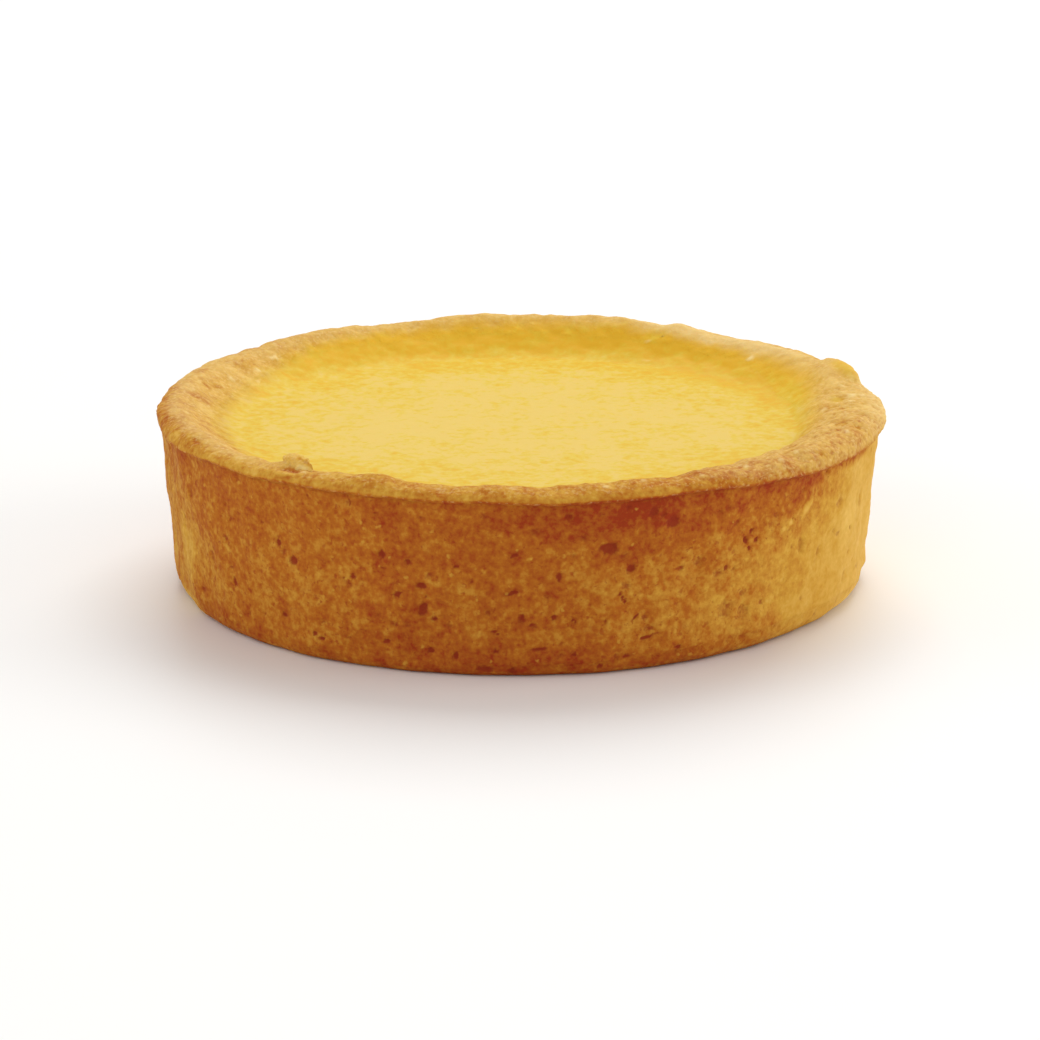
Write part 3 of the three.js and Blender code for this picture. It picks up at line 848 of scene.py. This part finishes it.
def oven_mottling(tree, position=None, patch_size=3.0, patch_strength=0.2, grain_size=0.8,
                  grain_strength=0.1):
    """Patches and grains of light and dark, from about -1 to 1 times their strengths."""
    patches = scaled(tree, noisy(tree, position, patch_size, 2.0, 0.55), 4.0, -2.0)
    grains = scaled(tree, noisy(tree, position, grain_size, 2.0, 0.6), 4.0, -2.0)
    return scaled(tree, patches, patch_strength, times(tree, grains, grain_strength))


def specks(tree, position=None, spacing=1.5, radius=0.2, share=0.4):
    """Small uneven spots, in a share of the cells of a loose pattern."""
    cell = counted(tree, position, spacing)
    bend = place(tree, "TexNoise", {"Vector": cell, "Scale": 3.0, "Detail": 1.0})
    bent = place(tree, "VectorMath", {0: bend.outputs["Color"], 1: (0.35, 0.35, 0.35), 2: cell},
                 operation="MULTIPLY_ADD")
    spots = place(tree, "TexVoronoi", {"Vector": bent.outputs[0], "Scale": 1.0})
    reach = maths(tree, "DIVIDE", radius, spacing)
    mask = eased(tree, spots.outputs["Distance"], times(tree, reach, 0.4), reach, 1.0, 0.0)
    drawn = place(tree, "SeparateColor", {0: spots.outputs["Color"]})
    return times(tree, mask, maths(tree, "LESS_THAN", drawn.outputs[0], share))


def crumb_relief(tree, position=None, crumb_size=0.6, crumb_height=0.05, grain_size=0.22,
                 grain_height=0.015):
    """Height in mm of crumb and fine grain, for a bump."""
    grains = times(tree, noisy(tree, position, grain_size, 1.0), grain_height)
    return scaled(tree, noisy(tree, position, crumb_size), crumb_height, grains)


def scorch_marks(tree, position=None, size=1.3, low=0.6, high=0.7):
    """Soft-edged patches of no set shape, where the oven caught the crumb."""
    return eased(tree, noisy(tree, position, size, 3.0, 0.6), low, high)


OUTPUTS = {graded_tone: "Color", oven_mottling: "Mottle", specks: "Mask", crumb_relief: "Height",
           scorch_marks: "Mask"}
SOCKETS = {float: "NodeSocketFloat", tuple: "NodeSocketColor", type(None): "NodeSocketVector"}


def written(name):
    """A name from the code as the node editor shows it."""
    return name.capitalize().replace("_", " ")


def build_group(name, build):
    """Makes a shared node group. Its inputs are what the function that builds it takes."""
    tree = bpy.data.node_groups.new(name, "ShaderNodeTree")
    inputs = list(inspect.signature(build).parameters.values())[1:]
    for given in inputs:
        socket = tree.interface.new_socket(name=written(given.name), in_out="INPUT",
                                           socket_type=SOCKETS[type(given.default)])
        if given.default is not None:
            socket.default_value = given.default
    result = build(tree, *tree.nodes.new("NodeGroupInput").outputs[:len(inputs)])
    tree.interface.new_socket(name=OUTPUTS[build], in_out="OUTPUT", socket_type=result.bl_idname)
    tree.links.new(result, tree.nodes.new("NodeGroupOutput").inputs[0])
    return tree


def effect(tree, build, *first, **others):
    """The output of a shared node group, placed with this material's own values."""
    name = written(build.__name__)
    group = bpy.data.node_groups.get(name) or build_group(name, build)
    inputs = {**dict(enumerate(first)), **{written(key): value for key, value in others.items()}}
    return place(tree, "Group", inputs, node_tree=group).outputs[0]


def new_material(name):
    """An empty material's tree, the material, and the position on the piece in mm."""
    material = renewed(bpy.data.materials, name)
    material.use_nodes = True
    tree = material.node_tree
    tree.nodes.clear()
    coordinates = place(tree, "TexCoord")
    position = place(tree, "VectorMath",
                     {0: coordinates.outputs["Object"], "Scale": 1 / MM}, operation="SCALE")
    return material, tree, position.outputs[0]


def baked_colour(tree, position, crust, lemon):
    """The colours of crust and filling, which both materials blend alike, and the mottling."""
    mottle = effect(tree, oven_mottling, position, patch_size=2.1, patch_strength=0.2, grain_size=0.64,
                    grain_strength=0.23)
    browning = layer(tree, "browning")
    steady = maths(tree, "MAXIMUM", eased(tree, browning, 0.2, 0.6, 0.4, 0.8),
                   scaled(tree, layer(tree, "wall"), -0.85, 0.85))
    crust_colour = effect(tree, graded_tone, scaled(tree, mottle, steady, browning), crust.palest,
                          crust.golden, crust.brown, crust.deep)
    patches = effect(tree, oven_mottling, position, patch_size=3.2, patch_strength=lemon.mottle,
                     grain_size=1.1, grain_strength=1.3 * lemon.mottle)
    gold = layer(tree, "gold")
    gold = scaled(tree, patches, eased(tree, gold, 0.4, 0.9, 1.0, 0.55), gold)
    lemon_colour = effect(tree, graded_tone, gold, lemon.palest, lemon.lemon, lemon.gold, lemon.deep)
    return crust_colour, lemon_colour, mottle


def soft_surface(tree, colour, roughness, relief, strength, specular):
    """Ends a material in a matt surface that lets a little light in, with a relief in mm."""
    bump = place(tree, "Bump", {"Height": relief, "Distance": MM, "Strength": strength})
    shader = place(tree, "BsdfPrincipled",
                   {"Base Color": colour, "Roughness": roughness, "Normal": bump.outputs[0],
                    "Subsurface Weight": 0.12, "Subsurface Radius": (1.0, 0.6, 0.25),
                    "Subsurface Scale": 0.0012, "Specular IOR Level": specular})
    place(tree, "OutputMaterial", {"Surface": shader.outputs[0]})


def baked_pastry(name, crust, lemon):
    """Short, floury crust: mottled brown, with dark holes and dents whose darkness is partly painted
    shade, scorched patches and pale specks.
    """
    material, tree, position = new_material(name)
    made, lemon_colour, mottle = baked_colour(tree, position, crust, lemon)
    wall = layer(tree, "wall")
    baked = eased(tree, layer(tree, "browning"), 0.2, 0.65)

    dark = effect(tree, specks, position, spacing=1.4, radius=0.34, share=0.4)
    large = effect(tree, scorch_marks, position, size=1.5, low=0.58, high=0.7)
    small = effect(tree, scorch_marks, position, size=0.6, low=0.58, high=0.71)
    marks = maths(tree, "MAXIMUM", times(tree, dark, 0.6), times(tree, small, 0.75))
    marks = maths(tree, "MAXIMUM", marks, times(tree, large, 0.28))
    marks = times(tree, marks, times(tree, wall, baked))
    made = blended(tree, times(tree, marks, 0.85), made, crust.deep)

    # Painted shade in the holes and dents, partly the pits' own colour.
    ragged = noisy(tree, position, 0.35)
    holes = scaled(tree, ragged, 0.7, maths(tree, "SUBTRACT", layer(tree, "hole"), 0.35))
    holes = times(tree, eased(tree, holes, 0.05, 0.75), scaled(tree, baked, 0.44, 0.48))
    made = blended(tree, holes, made, crust.pit)

    pale = effect(tree, specks, position, spacing=1.5, radius=0.3, share=0.4)
    made = blended(tree, times(tree, pale, times(tree, wall, 0.6)), made, crust.golden)
    flecks = effect(tree, scorch_marks, position, size=0.45, low=0.48, high=0.68)
    flecks = times(tree, flecks, scaled(tree, wall, -0.36, 0.36))
    flour = maths(tree, "ADD", flecks, layer(tree, "flour"), clamp=True)
    made = blended(tree, flour, made, crust.flour)
    made = blended(tree, layer(tree, "custard"), made, lemon_colour)
    # Pale crumb spots, partly painted glints and the flake's painted highlight.
    made = blended(tree, layer(tree, "crumbs"), made, crust.crumb)

    relief = effect(tree, crumb_relief, position, crumb_size=0.5, crumb_height=0.11,
                    grain_size=0.22, grain_height=0.04)
    for mask, rise in ((marks, -0.05), (holes, -0.06), (pale, 0.05)):
        relief = scaled(tree, mask, rise, relief)
    steady = maths(tree, "MAXIMUM", times(tree, wall, scaled(tree, baked, 0.4, 0.6)),
                   scaled(tree, wall, -0.7, 0.7))
    roughness = scaled(tree, mottle, 0.15, crust.roughness, clamp=True)
    soft_surface(tree, made, roughness, times(tree, relief, steady), 0.8, 0.05)
    return material


def set_lemon(crust, lemon):
    """Smooth set custard: lemon in the middle, golden and crusted towards the rim."""
    material, tree, position = new_material("Set lemon filling")
    crust_colour, lemon_colour, mottle = baked_colour(tree, position, crust, lemon)
    custard = layer(tree, "custard")
    made = blended(tree, custard, crust_colour, lemon_colour)
    pale = effect(tree, specks, position, spacing=5.0, radius=0.3, share=0.22)
    made = blended(tree, times(tree, pale, 0.35), made, lemon.palest)
    golden = effect(tree, specks, position, spacing=2.8, radius=0.42, share=0.35)
    made = blended(tree, times(tree, golden, times(tree, custard, 0.4)), made, lemon.deep)
    # Pale crumb spots, partly painted glints.
    made = blended(tree, layer(tree, "crumbs"), made, crust.crumb)
    relief = effect(tree, crumb_relief, position, crumb_size=1.1, crumb_height=0.05,
                    grain_size=0.3, grain_height=0.012)
    roughness = scaled(tree, mottle, 0.2, lemon.roughness, clamp=True)
    soft_surface(tree, made, roughness, relief, 0.6, 0.03)
    return material


def pale_floor(colour):
    """A plain matt studio floor."""
    material, tree, _ = new_material("Studio floor")
    shader = place(tree, "BsdfPrincipled",
                   {"Base Color": colour, "Roughness": 0.5, "Specular IOR Level": 0.35})
    place(tree, "OutputMaterial", {"Surface": shader.outputs[0]})
    return material


# ---------------- operators

class TARTLET_OT_pastry_case(bpy.types.Operator):
    """Bake the pastry case, with its wall, lip, rim and crumb"""

    bl_idname = "tartlet.pastry_case"
    bl_label = "Pastry case"
    bl_options = {"REGISTER", "UNDO"}

    def execute(self, context):
        scene = context.scene
        material = baked_pastry("Baked pastry", scene.tartlet_pastry, scene.tartlet_lemon)
        piece = pastry_case(BakedForm(scene.tartlet_form, CASE_COLUMNS), scene.tartlet_pastry, material)
        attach(piece, "root")
        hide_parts("pastry_case")
        return {"FINISHED"}


class TARTLET_OT_lemon_filling(bpy.types.Operator):
    """Pour the lemon filling into the case and set it"""

    bl_idname = "tartlet.lemon_filling"
    bl_label = "Lemon filling"
    bl_options = {"REGISTER", "UNDO"}

    def execute(self, context):
        scene = context.scene
        material = set_lemon(scene.tartlet_pastry, scene.tartlet_lemon)
        form = BakedForm(scene.tartlet_form, FILLING_COLUMNS)
        piece = lemon_filling(form, scene.tartlet_pastry, material)
        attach(piece, "root")
        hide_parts("lemon_filling")
        return {"FINISHED"}


class TARTLET_OT_curled_flake(bpy.types.Operator):
    """Set the curled flake of crust on the front left of the rim"""

    bl_idname = "tartlet.curled_flake"
    bl_label = "Curled flake"
    bl_options = {"REGISTER", "UNDO"}

    def execute(self, context):
        scene = context.scene
        material = baked_pastry("Flaked pastry", scene.tartlet_pastry, scene.tartlet_lemon)
        piece = curled_flake(material)
        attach(piece, "root")
        return {"FINISHED"}


def soft_light(name, location, size, watts):
    """A square area light that faces the tartlet."""
    light = bpy.data.lights.new(name, "AREA")
    light.size = size
    light.energy = watts
    lamp = shown(name, light)
    lamp.location = location
    lamp.rotation_euler = (LIGHT_TARGET - lamp.location).to_track_quat("-Z", "Y").to_euler()


class TARTLET_OT_studio(bpy.types.Operator):
    """Set up the pale floor, the soft lights and the camera"""

    bl_idname = "tartlet.studio"
    bl_label = "Studio"
    bl_options = {"REGISTER", "UNDO"}

    def execute(self, context):
        scene = context.scene
        studio = scene.tartlet_studio
        mesh = bpy.data.meshes.new("StudioFloor")
        low, high = -FLOOR_HALF, FLOOR_HALF
        mesh.from_pydata([(low, low, 0), (high, low, 0), (high, high, 0), (low, high, 0)], [],
                         [(0, 1, 2, 3)])
        mesh.materials.append(pale_floor(studio.floor))
        floor = shown("StudioFloor", mesh)

        soft_light("KeyLight", (0.15, 0.78, 0.92), 0.9, studio.key_power)
        soft_light("RightLight", (0.62, 0.0, 0.22), 0.4, studio.right_power)
        soft_light("LeftLight", (-0.6, -0.1, 0.25), 0.4, studio.left_power)
        soft_light("FrontLight", (-0.15, -0.7, 0.4), 0.4, studio.front_power)

        scene.world = renewed(bpy.data.worlds, "Studio")
        scene.world.use_nodes = True
        sky = scene.world.node_tree
        sky.nodes.clear()
        glow = place(sky, "Background",
                     {"Color": (1.0, 0.985, 0.96, 1.0), "Strength": studio.fill})
        place(sky, "OutputWorld", {"Surface": glow.outputs[0]})
        scene.view_settings.view_transform = "Standard"

        data = bpy.data.cameras.new("StudioCamera")
        data.lens = studio.lens
        data.clip_start = 0.05
        data.clip_end = 20.0
        camera = shown("StudioCamera", data)
        camera.location = (0.0, -studio.camera_distance, studio.camera_height)
        camera.rotation_euler = (math.pi / 2 - studio.camera_tilt, 0.0, 0.0)
        scene.camera = camera
        return {"FINISHED"}


class VIEW3D_PT_tartlet(bpy.types.Panel):
    """The tartlet's pieces and their settings"""

    bl_label = "Lemon tartlet"
    bl_space_type = "VIEW_3D"
    bl_region_type = "UI"
    bl_category = "Tartlet"

    def draw(self, context):
        for operator in OPERATORS:
            self.layout.operator(operator.bl_idname)
        for name, group in SETTINGS.items():
            box = self.layout.box()
            box.label(text=group.__doc__)
            for setting in group.__annotations__:
                box.prop(getattr(context.scene, name), setting)


OPERATORS = (TARTLET_OT_pastry_case, TARTLET_OT_lemon_filling, TARTLET_OT_curled_flake, TARTLET_OT_studio)
SETTINGS = {"tartlet_form": TartletForm, "tartlet_pastry": PastryFinish,
            "tartlet_lemon": FillingFinish, "tartlet_studio": StudioSetup}
CLASSES = (*SETTINGS.values(), *OPERATORS, VIEW3D_PT_tartlet)


def register():
    for cls in CLASSES:
        bpy.utils.register_class(cls)
    for name, cls in SETTINGS.items():
        setattr(bpy.types.Scene, name, PointerProperty(type=cls))


def unregister():
    for name in SETTINGS:
        delattr(bpy.types.Scene, name)
    for cls in reversed(CLASSES):
        bpy.utils.unregister_class(cls)


def main():
    register()
    bpy.ops.tartlet.pastry_case()
    bpy.ops.tartlet.lemon_filling()
    bpy.ops.tartlet.curled_flake()
    bpy.ops.tartlet.studio()


if __name__ == "__main__":
    main()
